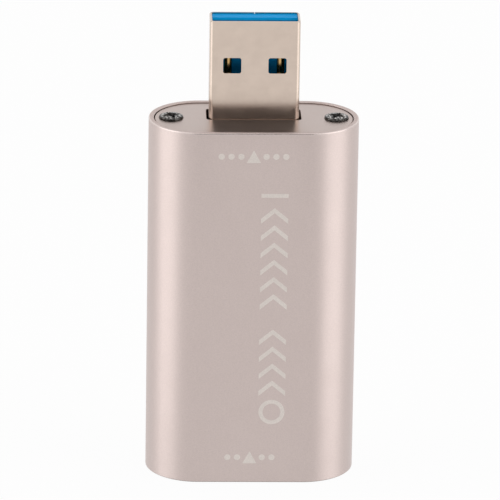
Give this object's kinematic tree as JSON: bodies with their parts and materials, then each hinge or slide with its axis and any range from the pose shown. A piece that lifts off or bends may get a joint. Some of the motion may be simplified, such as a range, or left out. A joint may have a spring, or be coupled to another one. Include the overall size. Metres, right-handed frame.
{
  "type": "video capture box",
  "caption": "Slim oval metal case with a data plug on one end and a video input socket on the other, closed by screwed end plates around an inner circuit board.",
  "frame": {"origin": "centre of the case's oval outline on the plane of the input end's rim, which it stands on", "axes": "+Z along the case from the input end towards the data plug, +X across the case's width, -Y out of the marked front face"},
  "size_m": [0.028, 0.014, 0.063],
  "materials": {
    "case_metal": "fine bead-blasted, rose champagne anodised",
    "plate_metal": "fine bead-blasted, rose champagne anodised",
    "screw_metal": "black oxide steel",
    "plug_metal": "nickel plated sheet",
    "socket_metal": "nickel plated sheet",
    "blue_plastic": "blue moulded plastic",
    "black_plastic": "black moulded plastic",
    "contact_metal": "gold plated",
    "board": "green coated glass-fibre board",
    "solder": "bright solder",
    "sheet_plastic": "amber insulating film",
    "chip_plastic": "moulded black",
    "lead_metal": "tinned",
    "crystal_metal": "drawn can",
    "core_grey": "pressed iron powder",
    "capacitor_yellow": "moulded",
    "filter_grey": "fired ceramic",
    "capacitor_tan": "fired ceramic"
  },
  "bodies": {
    "root": {"case_tube": "case_metal", "output_end_plate": "plate_metal", "input_end_plate": "plate_metal", "output_plate_screws": "screw_metal", "input_plate_screws": "screw_metal", "plug_shell": "plug_metal", "plug_tongue": "blue_plastic", "plug_long_contacts": "contact_metal", "plug_short_contacts": "contact_metal", "socket_shell": "socket_metal", "socket_tongue": "black_plastic", "socket_front_contacts": "contact_metal", "socket_back_contacts": "contact_metal", "circuit_board": "board", "solder_joints": "solder", "insulating_sheet": "sheet_plastic", "capture_chip": "chip_plastic", "capture_chip_pads": "lead_metal", "memory_chip": "chip_plastic", "memory_chip_leads": "lead_metal", "crystal": "crystal_metal", "regulators": "chip_plastic", "regulator_leads": "lead_metal", "power_inductor": "core_grey", "power_inductor_terminals": "lead_metal", "bulk_capacitors": "capacitor_yellow", "bulk_capacitor_terminals": "lead_metal", "line_filters": "filter_grey", "surge_arrays": "chip_plastic", "small_capacitors": "capacitor_tan", "small_capacitor_ends": "lead_metal", "small_resistors": "chip_plastic", "small_resistor_ends": "lead_metal"}
  },
  "joints": []
}
